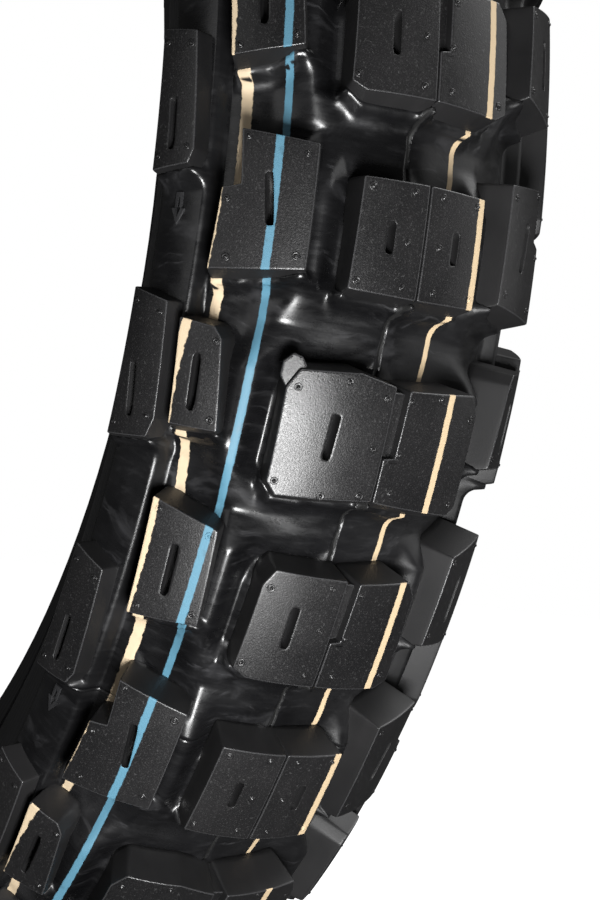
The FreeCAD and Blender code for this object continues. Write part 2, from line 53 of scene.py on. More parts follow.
# turns of the pattern's copies, the first one repeat ahead of where the outlines lie
copyTurns = period * (1 - np.arange(tyre["repeats"]))
crownTurn = math.radians(tyre["crownAngle"])
crownLength = tyre["crownRadius"] * crownTurn
crownBase = tyre["topRadius"] - tyre["crownRadius"]
radiusStep = tyre["crownRadius"] - tyre["shoulderRadius"]
shoulderY = radiusStep * math.sin(crownTurn)
shoulderBase = crownBase + radiusStep * math.cos(crownTurn)
mmPerDegree = tyre["topRadius"] * math.pi / 180.0
metre = 0.001


# A place on the tread: s runs along the block-top arc from the middle line, around is the turn
# from +X towards +Z, and depth is how far the place lies under the block tops.
# The section is y = yc + (R - depth) sin a, r = rc + (R - depth) cos a on the crown arc and then
# on the shoulder arc, and the turn carries it to (r cos t, y, r sin t).
def treadPlace(s, around, depth):
    reach = np.abs(s)
    onCrown = reach <= crownLength
    shoulderAngle = crownTurn + (reach - crownLength) / tyre["shoulderRadius"]
    angle = np.where(onCrown, reach / tyre["crownRadius"], shoulderAngle)
    radius = np.where(onCrown, tyre["crownRadius"], tyre["shoulderRadius"]) - depth
    across = np.sign(s) * (np.where(onCrown, 0.0, shoulderY) + radius * np.sin(angle))
    out = np.where(onCrown, crownBase, shoulderBase) + radius * np.cos(angle)
    turn = np.radians(around)
    return np.stack((out * np.cos(turn), across, out * np.sin(turn)), axis=-1) * metre


# Eases from 0 at a to 1 at b: t squared times (3 - 2t).
def ease(x, a, b):
    t = np.clip((x - a) / (b - a), 0.0, 1.0)
    return t * t * (3.0 - 2.0 * t)


def makePiece(name, points, quads, look, replaced, fields, flatPlace, caps):
    mesh = bpy.data.meshes.new(name)
    faces = quads.tolist() + [list(cap) for cap in caps]
    mesh.from_pydata(points, [], faces)
    mesh.polygons.foreach_set("use_smooth", np.ones(len(faces), dtype=bool))
    for fieldName, values in fields.items():
        layer = mesh.attributes.new(fieldName, "FLOAT", "POINT")
        layer.data.foreach_set("value", np.ascontiguousarray(values, dtype=np.float32))
    corners = np.zeros(len(mesh.loops), dtype=np.int32)
    mesh.loops.foreach_get("vertex_index", corners)
    layer = mesh.uv_layers.new(name="treadPlan")
    layer.data.foreach_set("uv", (flatPlace[corners] * metre).astype(np.float32).ravel())
    mesh.materials.append(look)
    mesh.update()
    piece = bpy.data.objects.new(name, mesh)
    bpy.context.scene.collection.objects.link(piece)
    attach(piece, "root")
    if replaced:
        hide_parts(*replaced)
    return piece


# A value on a surface. Sums and products of fields add Math nodes to the material's tree.
class Field:
    def __init__(self, tree, socket):
        self.tree = tree
        self.socket = socket

    def math(self, operation, *values):
        node = self.tree.nodes.new("ShaderNodeMath")
        node.operation = operation
        for socket, value in zip(node.inputs, values):
            if isinstance(value, Field):
                self.tree.links.new(value.socket, socket)
            else:
                socket.default_value = value
        return Field(self.tree, node.outputs[0])

    def __add__(self, other):
        return self.math("ADD", self, other)

    def __radd__(self, other):
        return self.math("ADD", other, self)

    def __sub__(self, other):
        return self.math("SUBTRACT", self, other)

    def __rsub__(self, other):
        return self.math("SUBTRACT", other, self)

    def __mul__(self, other):
        return self.math("MULTIPLY", self, other)

    def __rmul__(self, other):
        return self.math("MULTIPLY", other, self)

    def size(self):
        return self.math("ABSOLUTE", self)

    def atLeast(self, other):
        return self.math("MAXIMUM", self, other)

    # 0 below a and 1 above b, eased between; with a above b it falls instead
    def between(self, a, b):
        node = self.tree.nodes.new("ShaderNodeMapRange")
        node.interpolation_type = "SMOOTHSTEP"
        falls = a > b
        self.tree.links.new(self.socket, node.inputs["Value"])
        node.inputs["From Min"].default_value = b if falls else a
        node.inputs["From Max"].default_value = a if falls else b
        node.inputs["To Min"].default_value = 1.0 if falls else 0.0
        node.inputs["To Max"].default_value = 0.0 if falls else 1.0
        return Field(self.tree, node.outputs["Result"])


# One finish: a material whose principled shader's sockets are set or fed through it.
class Finish:
    def __init__(self, name, **steady):
        self.material = bpy.data.materials.new(name)
        self.material.use_nodes = True
        self.tree = self.material.node_tree
        self.shader = self.tree.nodes["Principled BSDF"]
        self.place = self.node("ShaderNodeTexCoord").outputs["Object"]
        for socketName, value in steady.items():
            self.shader.inputs[socketName].default_value = value

    def node(self, kind, settings=None, **sockets):
        node = self.tree.nodes.new(kind)
        for setting, value in (settings or {}).items():
            setattr(node, setting, value)
        for socketName, value in sockets.items():
            socket = node.inputs[socketName]
            if isinstance(value, Field):
                self.tree.links.new(value.socket, socket)
            elif isinstance(value, bpy.types.NodeSocket):
                self.tree.links.new(value, socket)
            else:
                socket.default_value = value
        return node

    def field(self, socket):
        return Field(self.tree, socket)

    def attribute(self, name):
        return self.field(self.node("ShaderNodeAttribute", {"attribute_name": name}).outputs["Fac"])

    def plan(self):
        flat = self.node("ShaderNodeUVMap", {"uv_map": "treadPlan"}).outputs[0]
        parts = self.node("ShaderNodeSeparateXYZ", Vector=flat)
        return flat, self.field(parts.outputs["X"]), self.field(parts.outputs["Y"])

    def stretched(self, place, x, y, z):
        node = self.node("ShaderNodeMapping", Vector=place)
        node.inputs["Scale"].default_value = (x, y, z)
        return node.outputs[0]

    def noise(self, scale, detail=2.0, place=None, rough=0.5):
        node = self.node(
            "ShaderNodeTexNoise", Vector=place or self.place, Scale=scale, Detail=detail,
            Roughness=rough,
        )
        return self.field(node.outputs["Fac"])

    def mix(self, factor, a, b):
        node = self.node("ShaderNodeMix", {"data_type": "RGBA"})
        for index, value in ((0, factor), (6, a), (7, b)):
            socket = node.inputs[index]
            if isinstance(value, Field):
                self.tree.links.new(value.socket, socket)
            elif isinstance(value, bpy.types.NodeSocket):
                self.tree.links.new(value, socket)
            elif index == 0:
                socket.default_value = value
            else:
                socket.default_value = (*value, 1.0)
        return node.outputs[2]

    def bump(self, height, distance, strength):
        node = self.node("ShaderNodeBump", Height=height, Distance=distance, Strength=strength)
        return node.outputs[0]

    def feed(self, socketName, value):
        source = value.socket if isinstance(value, Field) else value
        self.tree.links.new(source, self.shader.inputs[socketName])


# Widths and places in millimetres from the middle line, colours as linear light. A line swings
# aside once in each repeat, around the angle swingAt, and lies a little aside on the deck.
stripes = (
    dict(at=-44.2, half=1.15, deckHalf=1.25, deckShift=0.5, swing=0.0, swingAt=0.0, wander=0.5,
         ragged=0.3, colour=(0.075, 0.20, 0.28), fade=0.35),
    dict(at=19.1, half=1.2, deckHalf=1.1, deckShift=0.0, swing=0.0, swingAt=0.0, wander=0.8,
         ragged=0.3, colour=(0.56, 0.43, 0.27), fade=0.1),
    dict(at=-60.2, half=1.45, deckHalf=1.9, deckShift=2.6, swing=-4.2, swingAt=-10.7, wander=0.6,
         ragged=0.7, colour=(0.58, 0.46, 0.31), fade=0.15),
)


# Painted lines: full where |u - at - aside(v)| is under the half width, where aside is the
# swing times ((1 + cos(turns of the pattern)) / 2) cubed, plus a slow wander.
def paintStripes(finish, colour, rough, keep, onDeck):
    flat, u, v = finish.plan()
    edge = finish.noise(420.0, 2.0, flat)
    worn = finish.noise(160.0, 3.0, flat)
    perMetre = 2.0 * math.pi / (period * mmPerDegree * metre)
    for index, stripe in enumerate(stripes):
        slow = finish.noise(6.0 + 2.0 * index, 2.0, finish.stretched(flat, 0.0, 1.0, 1.0))
        turns = v * perMetre - stripe["swingAt"] * mmPerDegree * metre * perMetre
        wave = turns.math("COSINE", turns) * 0.5 + 0.5
        place = stripe["at"] + (stripe["deckShift"] if onDeck else 0.0)
        aside = wave * wave * wave * (stripe["swing"] * metre)
        aside = aside + (slow - 0.5) * (3.0 * stripe["wander"] * metre)
        away = (u - place * metre - aside).size()
        away = away + (edge - 0.5) * (2.0 * stripe["ragged"] * metre)
        half = (stripe["deckHalf"] if onDeck else stripe["half"]) * metre
        mask = away.between(half + 0.00018, half - 0.00018) * keep
        mask = mask * (1.0 - worn.between(0.55, 0.75) * stripe["fade"])
        pale = tuple(min(1.0, 1.12 * c) for c in stripe["colour"])
        paint = finish.mix(worn, stripe["colour"], pale)
        colour = finish.mix(mask, colour, paint)
        rough = rough * (1.0 - mask) + mask * 0.6
    return colour, rough


blockLook = dict(dark=(0.006, 0.006, 0.0064), pale=(0.014, 0.0135, 0.014), rough=0.37)


# Block rubber: dull speckled tops, slightly smoother walls, a fine paler line round each top that is
# partly worn edge and partly a painted highlight along the edge.
def blockFinish(name):
    look = blockLook
    finish = Finish(name, **{"Specular IOR Level": 0.5})
    top = finish.attribute("top")
    rim = finish.attribute("rim")
    cloud = finish.noise(26.0, 4.0, rough=0.6)
    grain = finish.noise(2400.0, 2.0)
    speck = finish.noise(1100.0, 1.0)
    streak = finish.noise(60.0, 3.0, finish.stretched(finish.place, 1.0, 6.0, 1.0))
    tone = cloud.between(0.3, 0.75) * 0.6 + grain * 0.25 + streak.between(0.45, 0.8) * 0.3
    colour = finish.mix(tone, look["dark"], look["pale"])
    colour = finish.mix(grain.between(0.56, 0.7) * top * 0.35, colour, (0.05, 0.049, 0.049))
    colour = finish.mix(speck.between(0.66, 0.74) * top * 0.4, colour, (0.07, 0.07, 0.07))
    # painted highlight: the band along each top's edge is mixed towards pale grey, partly for wear and
    # partly for the light its bevel catches
    colour = finish.mix(rim.between(0.75, 1.0) * 0.35, colour, (0.085, 0.085, 0.088))
    rough = look["rough"] + (cloud - 0.5) * 0.25 - rim * 0.08 + (1.0 - top) * 0.16
    rough = rough + (grain - 0.5) * 0.3 * top
    colour, rough = paintStripes(finish, colour, rough, top.between(0.35, 0.65), False)
    finish.feed("Base Color", colour)
    finish.feed("Roughness", rough)
    rise = grain * (0.3 + 0.7 * top) + streak * 0.15 + speck * 0.15
    finish.feed("Normal", finish.bump(rise, 0.00009, 0.6))
    return finish.material


# the seam's place and widths are in metres on the flat tread
grooveLook = dict(
    dark=(0.003, 0.003, 0.0034), pale=(0.014, 0.014, 0.015), rough=0.30,
    seamAt=-0.0012, seamDrift=0.0014, seamRagged=0.0016, seamInner=0.0008, seamOuter=0.0012,
)


# Groove rubber: glossier, with smears and hairline scratches drawn out along the turn, and a
# dark ragged seam near the middle line.
def grooveFinish(name):
    look = grooveLook
    finish = Finish(name, **{"Specular IOR Level": 0.55})
    flat, u, _ = finish.plan()
    level = finish.attribute("level")
    cloud = finish.noise(34.0, 4.0, rough=0.6)
    grain = finish.noise(1300.0, 2.0)
    smear = finish.noise(90.0, 4.0, finish.stretched(flat, 1.0, 5.0, 1.0), 0.65)
    wobble = finish.node("ShaderNodeTexNoise", Vector=flat, Scale=30.0).outputs["Color"]
    bent = finish.mix(0.03, flat, wobble)
    hair = finish.noise(110.0, 4.0, finish.stretched(bent, 0.5, 3.0, 1.0), 0.65)
    swirl = finish.noise(70.0, 4.0, finish.stretched(bent, 0.7, 1.6, 1.0), 0.6)
    tone = cloud.between(0.35, 0.7) * 0.5 + smear.between(0.5, 0.8) * 0.5
    colour = finish.mix(tone, look["dark"], look["pale"])
    scratch = hair.between(0.60, 0.75) * 0.4 + swirl.between(0.55, 0.75) * 0.3
    colour = finish.mix(scratch * level, colour, (0.07, 0.07, 0.074))
    seamDrift = finish.noise(55.0, 3.0, finish.stretched(flat, 0.0, 1.0, 1.0))
    seamEdge = finish.noise(900.0, 3.0, flat)
    away = (u - look["seamAt"] + (seamDrift - 0.5) * look["seamDrift"]).size()
    away = away + (seamEdge - 0.5) * look["seamRagged"]
    seam = away.between(look["seamOuter"], look["seamInner"])
    colour = finish.mix(seam, colour, (0.001, 0.001, 0.001))
    rough = look["rough"] + (smear - 0.5) * 0.3 + (swirl - 0.5) * 0.2 + (1.0 - level) * 0.1
    rough = rough + (hair - 0.5) * 0.2 * level
    rough = rough + u.between(-0.002, 0.012) * 0.14
    rough = rough.atLeast(0.15) + seam * 0.4
    colour, rough = paintStripes(finish, colour, rough, level.between(0.3, 0.7), True)
    finish.feed("Base Color", colour)
    finish.feed("Roughness", rough)
    rise = grain * 0.3 + hair * 0.22 + swirl * 0.25 - seam * 2.0
    finish.feed("Normal", finish.bump(rise, 0.00012, 0.5))
    return finish.material


# Plain moulded rubber: cloudy tone, fine grain and rings drawn round the axle.
def plainRubber(name, dark, pale, roughness, ringScale):
    finish = Finish(name)
    cloud = finish.noise(22.0, 4.0, rough=0.6)
    grain = finish.noise(1400.0, 2.0)
    parts = finish.node("ShaderNodeSeparateXYZ", Vector=finish.place)
    x, z = (finish.field(parts.outputs[axis]) for axis in "XZ")
    radius = (x * x + z * z).math("SQRT", x * x + z * z)
    ringed = (radius * ringScale).math("SINE", radius * ringScale)
    smear = finish.noise(40.0, 4.0, finish.stretched(finish.place, 1.0, 5.0, 1.0), 0.65)
    colour = finish.mix(cloud.between(0.3, 0.7) * 0.6 + smear * 0.3, dark, pale)
    finish.feed("Base Color", colour)
    finish.feed("Roughness", roughness + (cloud - 0.5) * 0.3 + (smear - 0.5) * 0.2)
    rise = grain * 0.4 + smear * 0.5 + ringed * 0.25
    finish.feed("Normal", finish.bump(rise, 0.00018, 0.6))
    return finish.material


# Cord fabric: parallel cords at a bias to the turn, sunk in brown rubber.
def cordFinish(name, cord, rubber, count, lean):
    finish = Finish(name, Roughness=0.75)
    parts = finish.node("ShaderNodeSeparateXYZ", Vector=finish.place)
    x, y, z = (finish.field(parts.outputs[axis]) for axis in "XYZ")
    turn = x.math("ARCTAN2", z, x)
    phase = turn * count + y * lean
    ridge = phase.math("SINE", phase) * 0.5 + 0.5
    worn = finish.noise(300.0, 3.0)
    colour = finish.mix(ridge.between(0.35, 0.8), rubber, cord)
    colour = finish.mix(worn.between(0.5, 0.75) * 0.5, colour, rubber)
    finish.feed("Base Color", colour)
    finish.feed("Normal", finish.bump(ridge + worn * 0.3, 0.0003, 0.8))
    return finish.material


# Bead wire: bronze-plated steel with drawing marks and tarnish.
def wireFinish(name):
    finish = Finish(name, Metallic=1.0)
    tarnish = finish.noise(180.0, 4.0)
    drawn = finish.noise(900.0, 2.0)
    finish.feed("Base Color", finish.mix(tarnish, (0.55, 0.36, 0.17), (0.30, 0.22, 0.14)))
    finish.feed("Roughness", 0.3 + tarnish * 0.25)
    finish.feed("Normal", finish.bump(drawn, 0.00005, 0.4))
    return finish.material


finishes = dict(
    block=blockFinish("blockRubber"),
    groove=grooveFinish("grooveRubber"),
    sidewall=plainRubber("sidewallRubber", (0.014, 0.014, 0.015), (0.032, 0.032, 0.034), 0.42, 2400.0),
    chafer=plainRubber("chaferRubber", (0.012, 0.012, 0.013), (0.026, 0.026, 0.028), 0.5, 4200.0),
    liner=plainRubber("linerRubber", (0.020, 0.020, 0.021), (0.045, 0.045, 0.047), 0.6, 1500.0),
    filler=plainRubber("fillerRubber", (0.010, 0.010, 0.010), (0.02, 0.02, 0.02), 0.6, 3000.0),
    ply=cordFinish("plyCord", (0.34, 0.26, 0.16), (0.04, 0.035, 0.03), 1400.0, 900.0),
    belt=cordFinish("beltCord", (0.45, 0.34, 0.10), (0.04, 0.035, 0.03), 1000.0, -2600.0),
    wire=wireFinish("bronzedWire"),
)
print("finishes made:", len(finishes))

# the CAD nodes that stay get a finish by the start of their names
finishOfNode = {
    "sidewall": "sidewall", "rim_line": "sidewall", "rotation": "sidewall", "chafer": "chafer",
    "inner_liner": "liner", "bead_filler": "filler", "bead_core": "wire", "carcass": "ply",
    "cap_ply": "ply", "breaker": "belt",
}
for nodeName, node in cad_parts.items():
    for start, finishName in finishOfNode.items():
        if nodeName.startswith(start):
            for place in node.material_slots:
                place.material = finishes[finishName]
print("finishes put on the CAD nodes that stay")

# Outlines of the block tops on the left half, as s and angle around, with the two ends of each
# block's cut and the places of its vent nibs.
leftBlocks = {
    "centre_block_small": dict(
        outline=((-20.2, 0.75), (-0.3, 0.8), (-0.3, -4.85), (-20.9, -4.8)),
        cut=((-10.6, -1.43), (-10.6, -2.62)),
        nibs=((-17.4, 0.3), (-4.6, 0.35), (-5.1, -2.13), (-5.1, -4.33), (-18.7, -4.33)),
    ),
    "centre_block_large": dict(
        outline=(
            (-29.5, -9.0), (-12.5, -8.7), (-0.9, -9.1), (-0.9, -14.9), (-29.0, -15.4),
            (-32.2, -14.8), (-32.6, -10.0),
        ),
        cut=((-17.0, -11.1), (-17.5, -13.0)),
        nibs=(
            (-29.3, -9.9), (-15.2, -9.2), (-3.0, -9.75), (-4.1, -12.3), (-4.9, -14.7),
            (-16.4, -15.0), (-30.1, -14.7),
        ),
    ),
    "centre_block_medium": dict(
        outline=(
            (-22.8, -19.1), (-0.9, -19.1), (-0.9, -25.05), (-21.8, -25.1),
            (-26.1, -24.7), (-25.4, -20.0),
        ),
        cut=((-13.9, -21.06), (-13.9, -22.93)),
        nibs=((-4.8, -21.9), (-24.4, -24.33), (-4.8, -24.43), (-22.8, -20.1), (-5.0, -19.6)),
    ),
    "notched_block": dict(
        outline=(
            (-55.0, 2.45), (-33.3, 2.0), (-33.0, -4.25), (-60.0, -4.9),
            (-58.9, -0.65), (-53.7, -0.4),
        ),
        cut=((-46.2, 0.13), (-44.6, -2.13)),
        nibs=((-53.1, 2.07), (-36.3, 1.43), (-36.2, -3.63), (-55.2, -4.19), (-57.3, -1.21)),
    ),
    "narrow_block": dict(
        outline=((-65.4, -7.6), (-55.0, -7.75), (-52.4, -8.3), (-48.6, -13.0), (-62.6, -13.2)),
        cut=((-58.2, -9.48), (-57.3, -12.06)),
        nibs=((-53.8, -8.5), (-51.1, -12.5)),
    ),
    "slanted_block": dict(
        outline=((-61.6, -17.15), (-41.4, -17.9), (-39.4, -23.1), (-59.8, -23.75)),
        cut=((-51.7, -19.46), (-51.1, -21.9)),
        nibs=((-59.0, -17.7), (-43.4, -18.3), (-42.0, -22.6), (-57.6, -23.2)),
    ),
    "shoulder_lug_short": dict(
        outline=((-83.4, 8.3), (-70.6, 7.8), (-68.6, 1.3), (-70.2, 0.5), (-83.4, 0.1)),
        cut=((-77.2, 3.97), (-76.7, 1.47)),
        nibs=((-72.6, 7.1), (-71.2, 1.4), (-81.6, 7.4), (-81.6, 0.9)),
    ),
    "shoulder_lug_long": dict(
        outline=((-83.5, -6.45), (-70.2, -6.9), (-67.0, -13.2), (-68.4, -14.3), (-83.0, -14.95)),
        cut=((-78.1, -10.76), (-75.9, -13.32)),
        nibs=((-72.2, -7.6), (-69.6, -13.2), (-81.7, -7.2), (-81.4, -14.2)),
    ),
}


def mirroredPlace(place):
    return (-place[0], place[1])


# right blocks mirror the left ones, but the large and medium centre blocks are cut back by a
# narrow pocket beside the middle line, which has a shelf in it
rightOnly = {
    "centre_block_large": dict(
        outline=(
            (-0.3, -14.95), (29.0, -15.4), (32.2, -14.9), (32.4, -10.0), (29.5, -9.0),
            (3.9, -9.2), (3.3, -12.6), (-0.3, -12.7),
        ),
        cut=None,
        nibs=((5.0, -9.7), (15.5, -9.4), (30.0, -10.3), (4.6, -12.4), (4.6, -14.4), (29.0, -14.8)),
        shelf=((-0.8, -9.4), (3.9, -9.4), (3.3, -12.6), (-0.8, -12.7)),
    ),
    "centre_block_medium": dict(
        outline=(
            (-0.3, -25.05), (21.8, -25.15), (26.1, -24.7), (25.2, -19.8), (21.6, -19.0),
            (3.4, -19.2), (2.9, -22.4), (-0.3, -22.5),
        ),
        cut=None,
        nibs=((5.0, -19.8), (4.0, -22.2), (4.3, -24.4), (22.6, -24.4)),
        shelf=((-0.8, -19.4), (3.4, -19.4), (2.9, -22.4), (-0.8, -22.5)),
    ),
}
treadBlocks = {}
for blockName, block in leftBlocks.items():
    treadBlocks[blockName + "_left"] = block
    mirrored = dict(
        outline=tuple(mirroredPlace(p) for p in block["outline"]),
        cut=tuple(mirroredPlace(p) for p in block["cut"]),
        nibs=tuple(mirroredPlace(p) for p in block["nibs"]),
    )
    treadBlocks[blockName + "_right"] = rightOnly.get(blockName, mirrored)

# how far a wall leans out for each millimetre down, by the way it faces
walls = dict(front=0.08, side=0.13, back=0.38, corner=0.5, baseDepth=14.4)


# Lean is side + (front - side) n^2 for a wall that faces forward and side + (back - side) n^2
# for one that faces back, where n is the part of its outward direction along the turn.
def leanOf(forward):
    ahead = np.maximum(forward, 0.0) ** 2
    behind = np.maximum(-forward, 0.0) ** 2
    return walls["side"] + (walls["front"] - walls["side"]) * ahead + (
        walls["back"] - walls["side"]) * behind


def flatPoints(places):
    return np.array([(s, around * mmPerDegree) for s, around in places])


def anticlockwise(points):
    following = np.roll(points, -1, axis=0)
    area = np.sum(points[:, 0] * following[:, 1] - following[:, 0] * points[:, 1])
    return points if area > 0.0 else points[::-1]


# Outward direction of the side that leaves each corner of an anticlockwise outline.
def sideDirections(points):
    along = np.roll(points, -1, axis=0) - points
    normal = np.stack((along[:, 1], -along[:, 0]), axis=1)
    return normal / np.linalg.norm(normal, axis=1, keepdims=True)


# Each corner moves by the step m with m . n1 = d1 and m . n2 = d2, where n1, n2 are the outward
# directions of its two sides and d1, d2 how far those sides move.
def movedOutline(points, distances):
    here = sideDirections(points)
    before = np.roll(here, 1, axis=0)
    d2 = np.broadcast_to(distances, (len(points),)).astype(float)
    d1 = np.roll(d2, 1)
    cross = before[:, 0] * here[:, 1] - before[:, 1] * here[:, 0]
    steep = np.abs(cross) > 0.12
    safe = np.where(steep, cross, 1.0)
    step = np.stack(
        ((d1 * here[:, 1] - d2 * before[:, 1]) / safe, (before[:, 0] * d2 - here[:, 0] * d1) / safe),
        axis=1,
    )
    plain = 0.5 * (here * d2[:, None] + before * d1[:, None])
    return points + np.where(steep[:, None], step, plain)


# The loop has, for every corner, the curve (1-t)^2 A + 2t(1-t) C + t^2 B between points a
# radius before and after it, and then even steps along the side to the next corner. The number
# of steps comes from the outline's own sides, so loops of moved outlines match point by point.
def roundedLoop(points, radius, steps):
    before = np.roll(points, 1, axis=0)
    after = np.roll(points, -1, axis=0)
    backward = before - points
    forward = after - points
    backLength = np.linalg.norm(backward, axis=1, keepdims=True)
    foreLength = np.linalg.norm(forward, axis=1, keepdims=True)
    start = points + backward / backLength * np.minimum(radius, 0.35 * backLength)
    stop = points + forward / foreLength * np.minimum(radius, 0.35 * foreLength)
    t = np.linspace(0.0, 1.0, 5)[:, None]
    runs = []
    for i, count in enumerate(steps):
        runs.append((1 - t) ** 2 * start[i] + 2 * t * (1 - t) * points[i] + t ** 2 * stop[i])
        share = (np.arange(1, count) / count)[:, None]
        runs.append(stop[i] + (np.roll(start, -1, axis=0)[i] - stop[i]) * share)
    return np.vstack(runs)


# The cut is a slot with softly squared ends. Seen from its middle at angle p to its half
# length L, a round end lies at L cos p + sqrt(rho^2 - L^2 sin^2 p) and a square one at
# (L + rho) / cos p; the loop runs halfway between them, and at rho / sin p along the sides.
def slotLoop(loop, cut, rho):
    a, b = flatPoints(cut)
    centre = 0.5 * (a + b)
    axis = (b - a) / np.linalg.norm(b - a)
    half = 0.5 * np.linalg.norm(b - a)
    ray = loop - centre
    ray = ray / np.linalg.norm(ray, axis=1, keepdims=True)
    cosine = np.maximum(np.abs(ray @ axis), 1e-6)
    sine = np.maximum(np.sqrt(np.maximum(1.0 - cosine ** 2, 0.0)), 1e-6)
    roundEnd = half * cosine + np.sqrt(np.maximum(rho ** 2 - (half * sine) ** 2, 0.0))
    roundSlot = np.where(rho * cosine / sine <= half, rho / sine, roundEnd)
    squareSlot = np.minimum(rho / sine, (half + rho) / cosine)
    return centre + ray * (0.5 * (roundSlot + squareSlot))[:, None]


# cutLip and cutRim are how far the top's first rings stand out from the cut, and topInset how far
# its last ones stand in from the outline
blockShape = dict(
    step=1.7, cutHalf=1.15, cutDepth=6.0, cutLip=0.12, cutRim=0.7, topInset=1.5, edge=0.3,
    shelfDepth=2.4, wallDepths=(0.7, 1.3, 3.6, 6.2, 8.8, 11.4),
)


# A block is a run of closed rings: from the floor of its cut, up and over its top, round its
# edge and down its leaning walls to a closed underside.
def blockRings(places, cut, lowered, height):
    shape = blockShape
    outline = anticlockwise(flatPoints(places))
    lean = leanOf(sideDirections(outline)[:, 1])
    lengths = np.linalg.norm(np.roll(outline, -1, axis=0) - outline, axis=1)
    steps = np.maximum(np.round(lengths / shape["step"]).astype(int), 2)
    loop = roundedLoop(outline, walls["corner"], steps)
    rings = []

    def ring(points, depth, top, rim):
        rings.append((points, np.full(len(points), lowered + depth), top, rim))

    def moved(distances, radius):
        return roundedLoop(movedOutline(outline, distances), radius, steps)

    middle = loop.mean(axis=0)
    inset = moved(-shape["topInset"], 0.2)
    inner = middle + (inset - middle) * 0.12
    if cut:
        ring(slotLoop(loop, cut, 0.05), shape["cutDepth"], 0.0, 0.0)
        ring(slotLoop(loop, cut, 0.9 * shape["cutHalf"]), shape["cutDepth"], 0.0, 0.0)
        ring(slotLoop(loop, cut, shape["cutHalf"]), 0.25, 0.0, 0.0)
        ring(slotLoop(loop, cut, shape["cutHalf"]), 0.1, 0.0, 0.0)
        ring(slotLoop(loop, cut, shape["cutHalf"] + shape["cutLip"]), 0.0, 1.0, 0.4)
        inner = slotLoop(loop, cut, shape["cutHalf"] + shape["cutRim"])
    ring(inner, 0.0, 1.0, 0.0)
    for share in (0.3, 0.65, 1.0):
        ring(inner + (inset - inner) * share, 0.0, 1.0, 0.0)
    edge = shape["edge"]
    ring(moved(-0.5 * shape["topInset"], 0.3), 0.0, 1.0, 0.3)
    ring(moved(-edge, 0.4), 0.0, 1.0, 1.0)
    ring(moved(-0.25 * edge, 0.5), 0.25 * edge, 1.0, 1.0)
    ring(moved(0.0, 0.5), edge, 0.6, 0.8)
    depths = np.array((*shape["wallDepths"], walls["baseDepth"] - lowered))
    for depth in depths if height is None else depths[depths <= height]:
        ring(moved(lean * depth, 0.5 + 0.08 * depth), depth, 0.0, 0.0)
    return rings


# quads between neighbouring rings
def ringQuads(ringCount, count):
    ringIndex = np.arange(ringCount - 1)[:, None] * count
    step = np.arange(count)[None, :]
    following = (step + 1) % count
    inner, outer = ringIndex, ringIndex + count
    return np.stack(
        (inner + step, outer + step, outer + following, inner + following), axis=-1
    ).reshape(-1, 4)


# One block at every turn given. A height leaves out the walls' rings below it.
def blockGroup(name, places, cut=None, lowered=0.0, replaced=(), turns=copyTurns, height=None):
    rings = blockRings(places, cut, lowered, height)
    count = len(rings[0][0])
    plan = np.vstack([points for points, depth, top, rim in rings])
    depth = np.concatenate([depth for points, depth, top, rim in rings])
    top = np.concatenate([np.full(count, top) for points, depth, top, rim in rings])
    rim = np.concatenate([np.full(count, rim) for points, depth, top, rim in rings])
    single = len(plan)
    quads = ringQuads(len(rings), count)
    repeats = len(turns)
    across = np.tile(plan[:, 0], (repeats, 1))
    around = plan[:, 1] / mmPerDegree + np.reshape(turns, (-1, 1))
    points = treadPlace(across, around, np.tile(depth, (repeats, 1))).reshape(-1, 3)
    shifts = (np.arange(repeats) * single)[:, None, None]
    flat = np.stack((across, around * mmPerDegree), axis=-1).reshape(-1, 2)
    firstLoop = np.arange(count)
    lastLoop = (len(rings) - 1) * count + np.arange(count)[::-1]
    caps = [tuple(loop + i * single) for i in range(repeats) for loop in (firstLoop, lastLoop)]
    return makePiece(
        name, points, (quads[None] + shifts).reshape(-1, 4), finishes["block"],
        replaced, dict(top=np.tile(top, repeats), rim=np.tile(rim, repeats)), flat, caps,
    )


for blockName, block in treadBlocks.items():
    blockGroup(blockName, block["outline"], block["cut"], replaced=[blockName])
    if "shelf" in block:
        blockGroup(blockName + "_shelf", block["shelf"], lowered=blockShape["shelfDepth"])
print("blocks and lugs made:", len(treadBlocks))

# a thin half disc of moulding flash left at the corner of one large block
flashTag = dict(
    outline=(
        (-27.6, -8.9), (-29.3, -8.45), (-32.0, -8.3), (-34.6, -8.8), (-34.8, -9.5), (-32.4, -10.1),
    ),
    lowered=1.6,
    height=1.3,
)
blockGroup(
    "flash_tag", flashTag["outline"], lowered=flashTag["lowered"], turns=(0.0,),
    height=flashTag["height"],
)

# Vent nibs: a stub of rubber in a shallow ring, as a profile turned about each place.
# Each row is a radius and a height over the block top, in millimetres.
nibProfile = ((1.25, -0.2), (1.15, 0.1), (0.9, 0.2), (0.68, 0.02), (0.5, 0.06), (0.35, 0.5))
nibSides = 8


